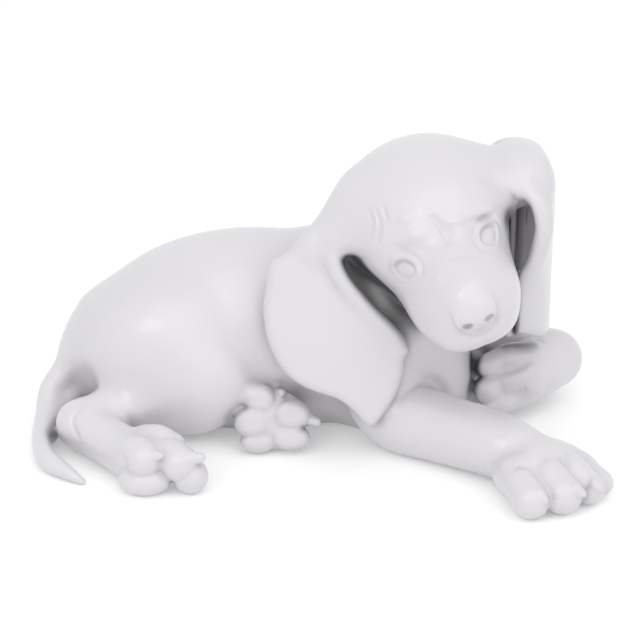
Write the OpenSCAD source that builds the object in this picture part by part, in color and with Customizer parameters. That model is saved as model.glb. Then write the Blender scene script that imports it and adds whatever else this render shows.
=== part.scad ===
// A puppy lying down with its head turned and tilted: a hollow porcelain figurine.
// Its castings are trimmed to fit one another and luted together with slip.
// X runs to the head end, Y away from the side that the face looks to, Z up.

/* [Casting] */
// Wall of the hollow castings
wall = 4; // [3:0.5:5]
// Thickness of the slip that lutes two castings together
slip = 0.6; // [0.4:0.1:1.2]
// Gap between castings that lie close without slip
lay_gap = 0.4; // [0.3:0.1:1]
// Diameter of the firing vent under the belly
vent_d = 8; // [5:0.5:12]
// Diameter of the air passages through the luted joints
passage_d = 6; // [4:0.5:7]

/* [Trunk] */
// Middle of the barrel
barrel_at = [-24, 28, 30.5]; // [-30:0.5:36]
// Half length of the barrel
barrel_half_length = 62; // [56:0.5:66]
// Half width of the barrel
barrel_half_width = 33; // [30:0.5:36]
// Half height of the barrel, before the floor cuts it flat
barrel_half_height = 39.5; // [36:0.5:43]
// Half sizes of the rump
rump_half = [25, 24, 23]; // [21:0.5:27]
// Half sizes of the seat below the rump
seat_half = [18, 17, 17]; // [15:0.5:19]
// Middle of the far haunch, from the middle of the barrel
far_haunch_from_barrel = [-24, 16, -11.5]; // [-30:0.5:20]
// Half sizes of the far haunch
far_haunch_half = [32, 16, 20]; // [14:0.5:34]
// Middle of the chest, from the middle of the barrel
chest_from_barrel = [48, -9, 3.5]; // [-12:0.5:50]
// Half length of the chest
chest_half_length = 30; // [26:0.5:33]
// Half width of the chest
chest_half_width = 27; // [24:0.5:30]
// Half height of the chest, before the floor cuts it flat
chest_half_height = 35; // [32:0.5:37]
// Foot of the neck, from the middle of the chest
neck_from_chest = [-10, 10, 13.5]; // [-12:0.5:15]
// Run of the neck from its foot to the skull
neck_run = [20, -8, 22]; // [-10:0.5:24]
// Radius of the neck at its foot
neck_foot_r = 26; // [23:0.5:28]
// Radius of the neck at the skull
neck_top_r = 24; // [21:0.5:26]
// Length of the neck below the luted joint
neck_length = 18; // [16:0.5:20]
// Forward and sideways lean of the neck joint, in degrees
neck_lean = [10, 20]; // [8:1:24]
// Radius over which the trunk's forms run into one another
trunk_blend = 12; // [6:1:16]

/* [Head] */
// Middle of the head, from the neck joint
head_from_neck = [12.5, -17.3, 20.9]; // [-18:0.1:22]
// Nod, tilt and turn of the head, in degrees
head_turn = [-5.7, -20.1, 9.4]; // [-24:0.1:14]
// Half width of the skull
skull_half_width = 30; // [28:0.5:33]
// Half length of the skull
skull_half_length = 32; // [29:0.5:34]
// Half height of the skull
skull_half_height = 25; // [23:0.5:28]
// Half sizes of the brow
brow_half = [24, 20, 20]; // [17:0.5:28]
// Half sizes of a cheek
cheek_half = [11.6, 22, 14.5]; // [10:0.1:24]
// Half width of each side of the muzzle
muzzle_half_width = 12.6; // [11:0.1:15]
// Half length of the muzzle
muzzle_half_length = 19; // [17:0.5:21]
// Half height of the muzzle
muzzle_half_height = 13.4; // [11:0.1:15]
// Radius of the bridge of the nose at the brow
bridge_brow_r = 10; // [8:0.5:11]
// Radius of the bridge at the nose
bridge_nose_r = 8; // [6.5:0.5:9]
// Half sizes of the chin
chin_half = [12, 13, 6]; // [5:0.5:14]
// Half sizes of the nose pad
nose_half = [8.6, 5.2, 6.2]; // [4:0.2:9]
// Radius of an eyeball
eye_r = 6; // [5:0.5:7]
// Distance of each eye from the middle of the face
eye_apart = 17; // [15:0.5:18]
// Radius over which the head's forms run into one another
head_blend = 10; // [5:1:13]

/* [Ears] */
// Thickness of the ears
ear_thick = 4.8; // [3.6:0.2:6]
// Radius of the ears' roots at the skull
ear_root_r = 11; // [8:0.5:12]
// Height of the near ear's tip above the floor
ear_tip_z = 15.8; // [14:0.2:18]
// Rise of the near ear from its tip to its root
ear_length = 75.6; // [70:0.2:80]
// Width of the near ear at its broadest
ear_width = 53; // [48:0.5:56]
// Lean of the near ear away from the viewer, per millimetre of height
ear_lean = 0.31; // [0.28:0.01:0.34]
// Rise of the far ear from its foot to its fold
far_ear_length = 75.5; // [72:0.5:78]
// Half depth of the far ear behind its middle
far_ear_half_depth = 34; // [30:0.5:36]
// Reach of the far ear out from its middle
far_ear_reach = 13; // [11:0.5:14]
// Half sizes of the hollow in the front of the far ear
far_ear_hollow_half = [7, 17, 19]; // [5:0.5:20]
// Radius of the rolled rim of the far ear
ear_rim_r = 2.5; // [2:0.1:3.2]

/* [Forelegs] */
// Radius of the forelegs at the shoulder
shoulder_r = 17; // [15:0.5:18]
// Radius of the upper arms
upper_arm_r = 15; // [13:0.5:16]
// Radius of the elbows
elbow_r = 13.5; // [12:0.5:14.5]
// Radius of the forearms
forearm_r = 12; // [10.5:0.5:13]
// Radius of the wrists
wrist_r = 12; // [10:0.2:12.8]
// Radius of the folded wrist of the far foreleg
folded_wrist_r = 10.4; // [9:0.2:11.2]
// Half sizes of the near forepaw behind its toes
forepaw_half = [14, 13, 11]; // [9:0.5:15]
// Radius of the toes of the near forepaw
fore_toe_r = 7; // [6:0.2:7.6]
// Radius of the tucked forepaw behind its toes
tucked_paw_r = 11.2; // [10:0.2:12.4]
// Radius of the toes of the tucked forepaw
tucked_toe_r = 5.2; // [4.6:0.2:5.8]

/* [Hind legs] */
// Half sizes of the near thigh
thigh_half = [29, 19, 25]; // [17:0.5:31]
// Slope of the near thigh, in degrees
thigh_slope = 25; // [15:1:35]
// Slope of the near knee, in degrees
knee_slope = 10; // [0:1:20]
// Half sizes of the near knee
knee_half = [19, 14, 15]; // [12:0.5:21]
// Radius of the shank
shank_r = 11.5; // [10.5:0.5:12.5]
// Radius of the hock
hock_r = 8.8; // [8:0.1:9.8]
// Radius of the toes of the hind paw
hind_toe_r = 6; // [5.4:0.1:6.6]
// Half sizes of the hind paw behind its toes
hind_paw_half = [10, 9, 8]; // [7:0.5:12]
// Half sizes of the pads under the hind paw
hind_pad_half = [8, 6.4, 5.2]; // [4.4:0.1:9]
// Half width of the sole of the far foot
sole_half_width = 13.2; // [12:0.2:14.4]
// Half height of the sole of the far foot
sole_half_height = 11.5; // [10:0.5:12.5]
// Half thickness of the far foot behind its sole
sole_half_thick = 6; // [5:0.5:7]
// Backward lean, roll and turn of the far foot's sole, in degrees
sole_turn = [-17, 0, 0]; // [-20:1:8]
// Radius of the pads of the far foot
pad_r = 4.8; // [4:0.2:5.4]

/* [Claws and tail] */
// Radius of the claws where they leave the toes
claw_r = 1.8; // [1.4:0.1:2.2]
// Length of the claws
claw_length = 2.5; // [2:0.5:4]
// Radius of the tail at its root
tail_root_r = 11; // [9:0.2:12]
// Radius of the tail along its middle
tail_r = 3.9; // [3.4:0.1:4.4]
// Radius of the tail's tip
tail_tip_r = 1.2; // [1:0.1:1.6]

/* [Hidden] */
porcelain = "#ecebe8";
slip_white = "#f6f4f0";
// Facets around the castings, around a limb and along each span of a limb
sides = 36;
limb_sides = 14;
steps = 2;
// Longer than any casting, for the cuts
far = 300;
// Middle of the footprint, in the frame that the forms below are placed in
footprint_middle = [-0.5, -3.3, 0];

// Distance from p to an ellipsoid, below zero inside
function ellipsoid_at(p, at, half) =
    let (q = p - at)
    let (a = [q.x / half.x, q.y / half.y, q.z / half.z])
    let (b = [a.x / half.x, a.y / half.y, a.z / half.z])
    norm(b) == 0 ? -min(half) : norm(a) * (norm(a) - 1) / norm(b);

// Distance from p to a round cone with ball ends
function cone_at(p, from, to, from_r, to_r) =
    let (run = to - from)
    let (t = min(max((p - from) * run / (run * run), 0), 1))
    norm(p - from - t * run) - from_r - (to_r - from_r) * t;

// The nearer of two distances, run together where they differ by less than k
function blend(a, b, k) =
    let (h = max(k - abs(a - b), 0) / k)
    min(a, b) - h * h * k / 4;

// Length along d from o to where the form ends, by halving
function reach(o, d, lo, hi, n, form) =
    let (mid = (lo + hi) / 2)
    n == 0 ? mid
    : form(o + mid * d) < 0 ? reach(o, d, mid, hi, n - 1, form)
    : reach(o, d, lo, mid, n - 1, form);

// Skin of a form: rays fan out from a, run square to a-b along it, and fan in at b
module skin(a, b, caps, mids, around, form) {
    axis = (b - a) / norm(b - a);
    side = cross(axis, [0, 0, 1]) / norm(cross(axis, [0, 0, 1]));
    up = cross(side, axis);
    rays = concat(
        [for (i = [1:caps]) [a, 180 - 90 * i / caps]],
        [for (i = [1:mids - 1]) [a + (b - a) * i / mids, 90]],
        [for (i = [0:caps - 1]) [b, 90 - 90 * i / caps]]
    );
    halvings = 15;
    ring_points = [
        for (ray = rays, j = [0:around - 1])
        let (turn = 360 * j / around)
        let (d = axis * cos(ray[1]) + (side * cos(turn) + up * sin(turn)) * sin(ray[1]))
        ray[0] + d * reach(ray[0], d, 0, far / 2, halvings, form)
    ];
    start = a - axis * reach(a, -axis, 0, far / 2, halvings, form);
    end = b + axis * reach(b, axis, 0, far / 2, halvings, form);
    last = len(rays) - 1;
    first_end = len(ring_points);
    polyhedron(
        concat(ring_points, [start, end]),
        concat(
            [for (i = [0:last - 1], j = [0:around - 1], face = ring_faces(i, j, around)) face],
            [for (j = [0:around - 1]) [first_end, (j + 1) % around, j]],
            [for (j = [0:around - 1])
                [first_end + 1, last * around + j, last * around + (j + 1) % around]]
        )
    );
}

// The two triangles between rings i and i + 1 at place j
function ring_faces(i, j, around) =
    let (next = (j + 1) % around)
    let (p = i * around + j, q = i * around + next)
    [[p, q, q + around], [p, q + around, p + around]];

// Points of a smooth curve through the given ones
function curve(points, n) = concat(
    [for (i = [0:len(points) - 2], k = [0:n - 1])
        span(
            points[max(i - 1, 0)], points[i], points[i + 1],
            points[min(i + 2, len(points) - 1)], k / n
        )],
    [points[len(points) - 1]]
);

// Points of a smooth closed curve through the given ones
function loop(points, n) =
    let (m = len(points))
    [for (i = [0:m - 1], k = [0:n - 1])
        span(points[(i + m - 1) % m], points[i], points[(i + 1) % m], points[(i + 2) % m], k / n)];

// The point at share t of the smooth span from b to c
function span(a, b, c, d, t) =
    (2 * b + (c - a) * t + (2 * a - 5 * b + 4 * c - d) * t * t
        + (3 * b - a - 3 * c + d) * t * t * t) / 2;

function place(p) = [p.x, p.y, p.z];
function with_r(p, r) = [p.x, p.y, p.z, r];

// A limb: balls along the route, each x, y, z and radius, with the space between them filled
module limb(route, grow = 0, n = steps, fn = limb_sides) {
    balls = curve(route, n);
    for (i = [0:len(balls) - 2])
        hull() {
            translate(place(balls[i])) sphere(balls[i][3] + grow, $fn = fn);
            translate(place(balls[i + 1])) sphere(balls[i + 1][3] + grow, $fn = fn);
        }
}

// Toes, each given by its root, knuckle, tip and claw's heading, with a claw on from each tip
module toes(list, r) {
    for (t = list) toe(t[0], t[1], t[2], t[3], r * t[4]);
}

module toe(root, knuckle, tip, heading, r) {
    limb([with_r(root, r), with_r(knuckle, r), with_r(tip, r * 0.88)], n = 1, fn = 12);
    run = heading / norm(heading);
    hull() {
        translate(tip + run * (r - claw_r)) sphere(claw_r, $fn = 6);
        translate(tip + run * (r - claw_r + claw_length) - [0, 0, claw_length / 3])
            sphere(claw_r / 3, $fn = 6);
    }
}

module oval(at, half, turn = [0, 0, 0], fn = 16) {
    translate(at) rotate(turn) scale(half) sphere(1, $fn = fn);
}

// A finished piece, moved so that the middle of the footprint is the origin
module standing() {
    translate(-footprint_middle) children();
}

// Everything below the face that the figurine stands on
module below_floor() {
    translate([-far / 2, -far / 2, -far]) cube(far);
}

// The trunk's forms, and the line from the rump to the chest that its skin is measured from
barrel_half = [barrel_half_length, barrel_half_width, barrel_half_height];
far_haunch_at = barrel_at + far_haunch_from_barrel;
chest_at = barrel_at + chest_from_barrel;
chest_half = [chest_half_length, chest_half_width, chest_half_height];
neck_at = chest_at + neck_from_chest;
neck_top = neck_at + neck_run;
neck_joint = neck_at + neck_run / norm(neck_run) * neck_length;
rump_end = barrel_at - [barrel_half_length, 0, 0];
rump_at = rump_end + [20.5, -4, -1];
seat_at = rump_end + [12, 2, -14.5];
rump_core = barrel_at - [barrel_half_length * 0.45, 0, 0];
chest_core = (chest_at + neck_at) / 2;

function trunk_at(p) =
    let (barrel = ellipsoid_at(p, barrel_at, barrel_half))
    let (rump = ellipsoid_at(p, rump_at, rump_half))
    let (seat = ellipsoid_at(p, seat_at, seat_half))
    let (haunch = ellipsoid_at(p, far_haunch_at, far_haunch_half))
    let (chest = ellipsoid_at(p, chest_at, chest_half))
    let (neck = cone_at(p, neck_at, neck_top, neck_foot_r, neck_top_r))
    let (back = blend(blend(barrel, rump, trunk_blend / 2), seat, trunk_blend))
    blend(blend(blend(back, haunch, trunk_blend), chest, trunk_blend), neck, trunk_blend);

// A place behind, given from the end of the rump, with its height above the floor
function by_rump(x, y, z) = [rump_end.x + x, rump_end.y + y, z];

module trunk_form(grow = 0) {
    skin(rump_core, chest_core, 9, 8, sides, function (p) trunk_at(p) - grow);
}

module trunk_hollow() {
    skin(rump_core, chest_core, 6, 5, 22, function (p) max(trunk_at(p) + wall, wall - p.z));
}

// Everything on the head's side of the neck joint, or on the trunk's side of it
module past_neck(gap = 0) {
    at_neck() translate([-far / 2, -far / 2, gap]) cube(far);
}

module before_neck(gap = 0) {
    at_neck() translate([-far / 2, -far / 2, gap - far]) cube(far);
}

module at_neck() {
    translate(neck_joint) rotate([neck_lean[0], neck_lean[1], 0]) children();
}

// An air passage from the trunk's hollow into a limb's
module passage(from, to) {
    run = to - from;
    translate(from) rotate([0, acos(run.z / norm(run)), atan2(run.y, run.x)])
        cylinder(d = passage_d, h = norm(run), $fn = 32);
}

module passages() {
    passage(right_shoulder, right_elbow);
    passage(left_shoulder, left_elbow);
    passage(near_hip, near_knee);
}

module trunk() {
    color(porcelain) standing() difference() {
        trunk_form();
        trunk_hollow();
        past_neck();
        below_floor();
        passages();
        translate([barrel_at.x, barrel_at.y, -wall]) cylinder(d = vent_d, h = wall * 3, $fn = 32);
    }
}

module neck_slip() {
    color(slip_white) standing() difference() {
        trunk_form();
        trunk_hollow();
        before_neck();
        past_neck(slip);
    }
}

// The head's forms, from its middle: X to the dog's left, Y to the back of the head, Z up
head_at = neck_joint + head_from_neck;
skull_at = [0, 3, 6.5];
skull_half = [skull_half_width, skull_half_length, skull_half_height];
brow_at = [0, -13, -2];
cheek_at = [8.5, -15, -15];
muzzle_at = [6.8, -35.5, -19.3];
muzzle_half = [muzzle_half_width, muzzle_half_length, muzzle_half_height];
nose_at = [0, muzzle_at.y - muzzle_half_length + 0.3, muzzle_at.z + 3.1];
bridge_from = [0, -24, -5];
bridge_to = nose_at + [0, 4.2, 3.7];
chin_at = [0, muzzle_at.y - 4.5, muzzle_at.z - 7.7];
muzzle_core = [0, muzzle_at.y, muzzle_at.z + 2];
eye_show = 1.2;
nape_from = unturned(neck_at - head_at, head_turn);
nape_to = unturned(neck_top - head_at, head_turn);

// A direction in the part's frame, in a frame that has been turned by the angles a
function unturned(v, a) =
    let (x = [v.x * cos(a.z) + v.y * sin(a.z), v.y * cos(a.z) - v.x * sin(a.z), v.z])
    let (y = [x.x * cos(a.y) - x.z * sin(a.y), x.y, x.z * cos(a.y) + x.x * sin(a.y)])
    [y.x, y.y * cos(a.x) + y.z * sin(a.x), y.z * cos(a.x) - y.y * sin(a.x)];

// The face is the same on both sides, so only the side that p lies on is measured, with the nape
function head_at_place(p) =
    let (q = [abs(p.x), p.y, p.z])
    let (skull = ellipsoid_at(q, skull_at, skull_half))
    let (brow = ellipsoid_at(q, brow_at, brow_half))
    let (cheek = ellipsoid_at(q, cheek_at, cheek_half))
    let (muzzle = ellipsoid_at(q, muzzle_at, muzzle_half))
    let (bridge = cone_at(q, bridge_from, bridge_to, bridge_brow_r, bridge_nose_r))
    let (chin = ellipsoid_at(q, chin_at, chin_half))
    let (nose = ellipsoid_at(q, nose_at, nose_half))
    let (back = blend(blend(skull, brow, head_blend), cheek, head_blend))
    let (face = blend(blend(back, muzzle, head_blend), bridge, head_blend))
    let (whole = blend(blend(face, chin, head_blend / 2), nose, head_blend / 4))
    blend(whole, cone_at(p, nape_from, nape_to, neck_foot_r, neck_top_r), head_blend);

module head_form(grow = 0) {
    at_head() skin(skull_at, muzzle_core, 9, 10, 44, function (p) head_at_place(p) - grow);
}

module head_hollow() {
    at_head() skin(skull_at, muzzle_core, 5, 5, 20, function (p) head_at_place(p) + wall);
}

module at_head() {
    translate(head_at) rotate(head_turn) children();
}

// An eyeball, sunk into the brow so that only a little of it stands out
module eye(side) {
    look = [side * eye_apart, -24, -3] / norm([eye_apart, -24, -3]);
    out = reach([0, 0, 0], look, 0, far / 2, 15, function (p) head_at_place(p));
    translate(look * (out - eye_r + eye_show)) sphere(eye_r, $fn = 24);
}

module head() {
    color(porcelain) standing() difference() {
        union() {
            head_form();
            at_head() eye(1);
            at_head() eye(-1);
        }
        head_hollow();
        before_neck(slip);
    }
}

// A rounded sheet: rings of an outline drawn in to its middle, laid on both faces of a surface
module sheet(outline, middle, lay) {
    n = len(outline);
    rings = [[0.985, 0.55], [0.95, 0.87], [0.88, 1], [0.6, 1], [0.3, 1]];
    rim = [for (p = outline) lay(p, 0)];
    faces_of = function (side)
        [for (r = rings, p = outline) lay(middle + (p - middle) * r[0], side * r[1] * ear_thick / 2)];
    spans = [0:len(rings) - 2];
    top = n;
    under = top + len(rings) * n;
    ends = under + len(rings) * n;
    polyhedron(
        concat(rim, faces_of(1), faces_of(-1), [lay(middle, ear_thick / 2), lay(middle, -ear_thick / 2)]),
        concat(
            [for (j = [0:n - 1], f = band(0, top, j, n)) f],
            [for (i = spans, j = [0:n - 1], f = band(top + i * n, top + (i + 1) * n, j, n)) f],
            [for (j = [0:n - 1]) [under - n + j, under - n + (j + 1) % n, ends]],
            [for (j = [0:n - 1], f = band(under, 0, j, n)) f],
            [for (i = spans, j = [0:n - 1], f = band(under + (i + 1) * n, under + i * n, j, n)) f],
            [for (j = [0:n - 1]) [ends - n + (j + 1) % n, ends - n + j, ends + 1]]
        )
    );
}

// The two triangles between the rings that start at a and b, at place j
function band(a, b, j, n) =
    let (next = (j + 1) % n)
    [[a + j, a + next, b + next], [a + j, b + next, b + j]];

// The near ear: its outline in shares of its width and length, on a sheet that bows to the viewer
ear_x = head_at.x - 59.3;
ear_tip_y = head_at.y - 29.9;
ear_bow = 0.0055;
ear_bow_x = ear_x + 0.55 * ear_width;
ear_middle = [0.4, 0.52];
ear_outline = [
    [0.56, 1], [0.56, 0.8], [0.6, 0.69], [0.73, 0.57], [0.95, 0.42], [1, 0.33], [0.97, 0.18],
    [0.87, 0.06], [0.75, 0], [0.65, 0.06], [0.52, 0.125], [0.3, 0.165], [0.14, 0.21], [0.03, 0.34],
    [0, 0.5], [0.05, 0.7], [0.16, 0.77], [0.37, 0.93]
];

function ear_lay(p, t) =
    let (x = ear_x + p.x * ear_width, rise = p.y * ear_length)
    [x, ear_tip_y + ear_lean * rise + ear_bow * (x - ear_bow_x) ^ 2 - t, ear_tip_z + rise];

right_ear_root = [
    with_r(head_at + [-10, -2, 4], ear_root_r),
    with_r(head_at + [-22, -3, 6.5], ear_root_r),
    with_r(head_at + [-32, -6, 0], ear_root_r * 0.65),
    with_r(head_at + [-40, -10, -9], ear_thick / 2)
];

module right_ear_form() {
    sheet(loop(ear_outline, 2), ear_middle, function (p, t) ear_lay(p, t));
    limb(right_ear_root, n = 3);
}

module right_ear() {
    color(porcelain) standing() difference() {
        right_ear_form();
        head_form(slip);
        trunk_form(lay_gap);
        limb(right_foreleg_route, lay_gap);
    }
}

module right_ear_slip() {
    color(slip_white) standing() difference() {
        intersection() {
            limb(right_ear_root, n = 3);
            head_form(slip);
        }
        head_form();
        before_neck(slip);
        trunk_form(lay_gap);
    }
}

// The far ear: a flap that folds over the skull and hangs, with a hollow in its front
far_ear_x = head_at.x + 32.8;
far_ear_y = head_at.y + 7;
far_ear_foot_z = 34.5;
far_ear_fold = 16;
far_ear_fold_z = far_ear_foot_z + far_ear_length - far_ear_fold;
far_ear_inner = 8;
far_ear_lean_in = 6;
far_ear_low = [far_ear_x, far_ear_y + 8, far_ear_foot_z + 10];
far_ear_high = [far_ear_x, far_ear_y, far_ear_fold_z];
far_ear_hollow_at = head_at + [29, -12, -1];
far_ear_outline = [
    [-0.26, 0.03], [-0.5, 0.1], [-0.6, 0.2], [-0.61, 0.38], [-0.7, 0.57], [-0.66, 0.78],
    [-0.48, 0.9], [-0.25, 0.97], [0.05, 1.01], [0.4, 0.98], [0.7, 0.9],
    [0.9, 0.75], [0.97, 0.55], [0.93, 0.28], [0.7, 0.09], [0.35, 0], [0, 0]
];

// Half depth of the far ear in front of its middle, which flares at mid height
function far_ear_half_front(z) =
    far_ear_half_depth * lookup((z - far_ear_foot_z) / far_ear_length,
        [[0, 0.6], [0.36, 0.6], [0.47, 0.74], [0.68, 1.06], [0.87, 0.8], [1, 0.7]]);

// Distance to the far ear's rounded outside, which leans in to the neck at the back
function far_ear_at(p) =
    let (back = min(max((p.y - far_ear_y) / far_ear_half_depth, 0), 1))
    let (x = p.x - far_ear_x + far_ear_lean_in * back)
    let (q = [x, p.y - far_ear_y, max(p.z - far_ear_fold_z, 0)])
    let (half = [
        q.x > 0 ? far_ear_reach : far_ear_inner,
        q.y < 0 ? far_ear_half_front(p.z) : far_ear_half_depth,
        far_ear_fold
    ])
    max(ellipsoid_at(q, [0, 0, 0], half), far_ear_foot_z - wall - p.z);

left_ear_root = [
    with_r(head_at + [10, 3, 8], ear_root_r),
    with_r(head_at + [18, 5, 13], ear_root_r * 1.1),
    with_r(head_at + [28, 6, 18.5], ear_root_r * 0.8)
];
left_ear_rim = [
    with_r(head_at + [20, -1, 18.7], ear_root_r * 0.5),
    with_r(head_at + [33.3, -11, 17.9], ear_rim_r * 1.1),
    with_r(head_at + [40, -15.5, 6.5], ear_rim_r),
    with_r(head_at + [37.2, -13, -8.6], ear_rim_r),
    with_r(head_at + [33.8, -10, -16.5], ear_rim_r)
];

module left_ear_form() {
    difference() {
        intersection() {
            skin(far_ear_low, far_ear_high, 6, 8, 28, function (p) far_ear_at(p));
            translate([far_ear_x - far_ear_inner / 2, far_ear_y, far_ear_foot_z]) rotate([90, 0, 90])
                linear_extrude(far_ear_reach * 2)
                    polygon([for (p = loop(far_ear_outline, 2))
                        [p.x * far_ear_half_depth, p.y * far_ear_length]]);
        }
        oval(far_ear_hollow_at, far_ear_hollow_half);
    }
    limb(left_ear_root);
    limb(left_ear_rim, fn = 8);
}

module left_ear() {
    color(porcelain) standing() difference() {
        left_ear_form();
        head_form(slip);
    }
}

module left_ear_slip() {
    color(slip_white) standing() difference() {
        intersection() {
            limb(left_ear_root);
            head_form(slip);
        }
        head_form();
        before_neck(slip);
    }
}

// The forelegs: routes from the shoulder, inside the trunk, to the toes
rest = 0.5;
right_shoulder = chest_at + [-2, -9, 10];
right_elbow = [27, -7, elbow_r + rest];
right_wrist = [58, -28, wrist_r + 1];
right_paw = [74, -41.5, forepaw_half.z - 1];
right_foreleg_route = [
    with_r(right_shoulder, shoulder_r),
    with_r([21, 0, 28], upper_arm_r),
    with_r(right_elbow, elbow_r),
    with_r([43, -17, forearm_r + rest], forearm_r + rest),
    with_r(right_wrist, wrist_r),
    with_r([68, -36, wrist_r + 1], wrist_r)
];
left_shoulder = chest_at + [4, 9, 6];
left_elbow = [58, 47, elbow_r + 4];
left_wrist = [88, 33.5, folded_wrist_r + 6];
left_foreleg_route = [
    with_r(left_shoulder, shoulder_r),
    with_r([44, 43, 31], upper_arm_r),
    with_r(left_elbow, elbow_r),
    with_r([75, 43, forearm_r + 4], forearm_r - rest),
    with_r(left_wrist, folded_wrist_r)
];
left_paw_route = [
    with_r(left_wrist, folded_wrist_r),
    with_r([82, 25.5, tucked_paw_r + 5.3], tucked_paw_r),
    with_r([75, 19.5, tucked_paw_r + 5.3], tucked_paw_r)
];

// Each toe: its root, knuckle and tip, its claw's heading, and its share of the paw's toe radius
right_toes = [
    [[63, -46, 10], [66.6, -53.5, 9.2], [71.1, -62.8, 6.2], [3, -1, 0], 1],
    [[73, -45, 10], [78.4, -53.6, 9.8], [84.2, -59, 6.6], [3, -1, 0], 1.05],
    [[80, -40, 9], [88, -47, 8.8], [93.6, -51.4, 6], [3, -1, 0], 0.88],
    [[83, -37, 8], [92.5, -41.2, 7.2], [97.5, -45.6, 5.2], [3, -1, 0], 0.74]
];
left_toes = [
    [[78, 20, 23], [66, 16.5, 24.6], [61.7, 14, 22.2], [-1, -3, -2], 1],
    [[77, 16, 16.5], [65, 12.5, 17], [61.7, 11, 14], [-1, -3, -2], 1.06],
    [[75, 15.5, 11], [66, 10.5, 9.4], [62.5, 9, 7.5], [2, -3, -2], 1]
];

module right_foreleg_form() {
    limb(right_foreleg_route);
    oval(right_paw, forepaw_half);
    toes(right_toes, fore_toe_r);
}

module left_foreleg_form() {
    limb(left_foreleg_route);
    limb(left_paw_route);
    toes(left_toes, tucked_toe_r);
}

module right_foreleg() {
    color(porcelain) standing() difference() {
        right_foreleg_form();
        limb(right_foreleg_route, -wall, fn = 10);
        trunk_form(slip);
        below_floor();
    }
}

module right_foreleg_slip() {
    color(slip_white) standing() difference() {
        intersection() {
            limb(right_foreleg_route);
            trunk_form(slip);
        }
        trunk_form();
        limb(right_foreleg_route, -wall, fn = 10);
        below_floor();
    }
}

module left_foreleg() {
    color(porcelain) standing() difference() {
        left_foreleg_form();
        limb(left_foreleg_route, -wall, fn = 10);
        trunk_form(slip);
        below_floor();
    }
}

module left_foreleg_slip() {
    color(slip_white) standing() difference() {
        intersection() {
            limb(left_foreleg_route);
            trunk_form(slip);
        }
        trunk_form();
        limb(left_foreleg_route, -wall, fn = 10);
        below_floor();
    }
}

// The near hind leg: thigh and knee laid against the trunk, shank back to the hock, foot forward
near_hip = by_rump(38, -14, 20.5);
near_knee = by_rump(40, -29, 17);
near_hock = by_rump(0, -38.5, hock_r + 1.7);
thigh_at = by_rump(33, -21, 30);
knee_at = by_rump(44, -29, 23);
right_hind_route = [
    with_r(near_hip, shank_r),
    with_r(near_knee, shank_r + 1.5),
    with_r(by_rump(20, -31, shank_r + 3), shank_r),
    with_r(near_hock, hock_r),
    with_r(by_rump(10, -50, hock_r + 0.7), hock_r),
    with_r(by_rump(20, -61, hock_r), hock_r)
];

module right_thigh(grow = 0) {
    oval(thigh_at, thigh_half + [grow, grow, grow], [0, thigh_slope, 0], 24);
    oval(knee_at, knee_half + [grow, grow, grow], [0, -knee_slope, 0], 20);
}

right_hind_paw = by_rump(24, -64, hind_paw_half.z);
right_hind_toes = [
    [by_rump(17, -63, 11), by_rump(23, -70.5, 12.6), by_rump(26, -73, 11.6), [3, -1, 1], 1],
    [by_rump(29, -63, 11), by_rump(34.5, -69.5, 11.4), by_rump(37, -72, 10), [3, -1, 1], 1.03],
    [by_rump(24, -57, 12), by_rump(30, -60, 13.6), by_rump(33, -61.5, 12.8), [3, -1, 0], 0.8]
];
right_hind_pads = [by_rump(24.4, -74.6, 5), by_rump(39, -73, 5)];

module right_hind_form() {
    right_thigh();
    limb(right_hind_route);
    oval(right_hind_paw, hind_paw_half);
    toes(right_hind_toes, hind_toe_r);
    for (at = right_hind_pads) oval(at, hind_pad_half);
}

module right_hind_leg() {
    color(porcelain) standing() difference() {
        right_hind_form();
        limb(right_hind_route, -wall, fn = 10);
        trunk_form(slip);
        below_floor();
    }
}

module right_hind_leg_slip() {
    color(slip_white) standing() difference() {
        intersection() {
            union() {
                right_thigh();
                limb(right_hind_route);
            }
            trunk_form(slip);
        }
        trunk_form();
        limb(right_hind_route, -wall, fn = 10);
        below_floor();
    }
}

// The far hind foot: it comes out under the belly with its sole to the viewer
sole_at = by_rump(69.5, -36.5, sole_half_height);
far_hind_route = [
    with_r(by_rump(44, 2, 14), sole_half_height + 1.5),
    with_r(by_rump(56, -14, sole_half_height), sole_half_height - rest),
    with_r(sole_at + [-3.5, 8.5, 0], sole_half_height - 1)
];

// The pads, from the middle of the sole: each one's place, and its half width and height in pad radii
sole_pads = [
    [[-4.7, -3.2, 7.8], [1, 0.9]], [[6.6, -4.2, 2.3], [1.15, 0.95]], [[5.7, -3.6, -6.3], [1.2, 0.83]],
    [[-6.1, -2.8, -8.1], [1.15, 0.67]], [[-8.4, -3.6, -0.5], [1, 0.95]]
];
sole_claws = [[[1.4, -0.5, 9.4], [2.4, -3.5, 10.6]], [[11, -2, 1.5], [14.8, -3.4, 0]]];

module left_hind_form() {
    limb(far_hind_route);
    translate(sole_at) rotate(sole_turn) {
        oval([0, 0, 0], [sole_half_width, sole_half_thick, sole_half_height]);
        for (pad = sole_pads)
            oval(pad[0], [pad[1].x * pad_r, pad_r * 0.67, pad[1].y * pad_r], fn = 14);
        for (claw = sole_claws)
            limb([with_r(claw[0], claw_r * 1.2), with_r(claw[1], claw_r * 0.7)], n = 1, fn = 6);
    }
}

module left_hind_foot() {
    color(porcelain) standing() difference() {
        left_hind_form();
        trunk_form(slip);
        right_thigh(lay_gap);
        below_floor();
    }
}

module left_hind_foot_slip() {
    color(slip_white) standing() difference() {
        intersection() {
            left_hind_form();
            trunk_form(slip);
        }
        trunk_form();
        right_thigh(lay_gap);
        below_floor();
    }
}

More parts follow.
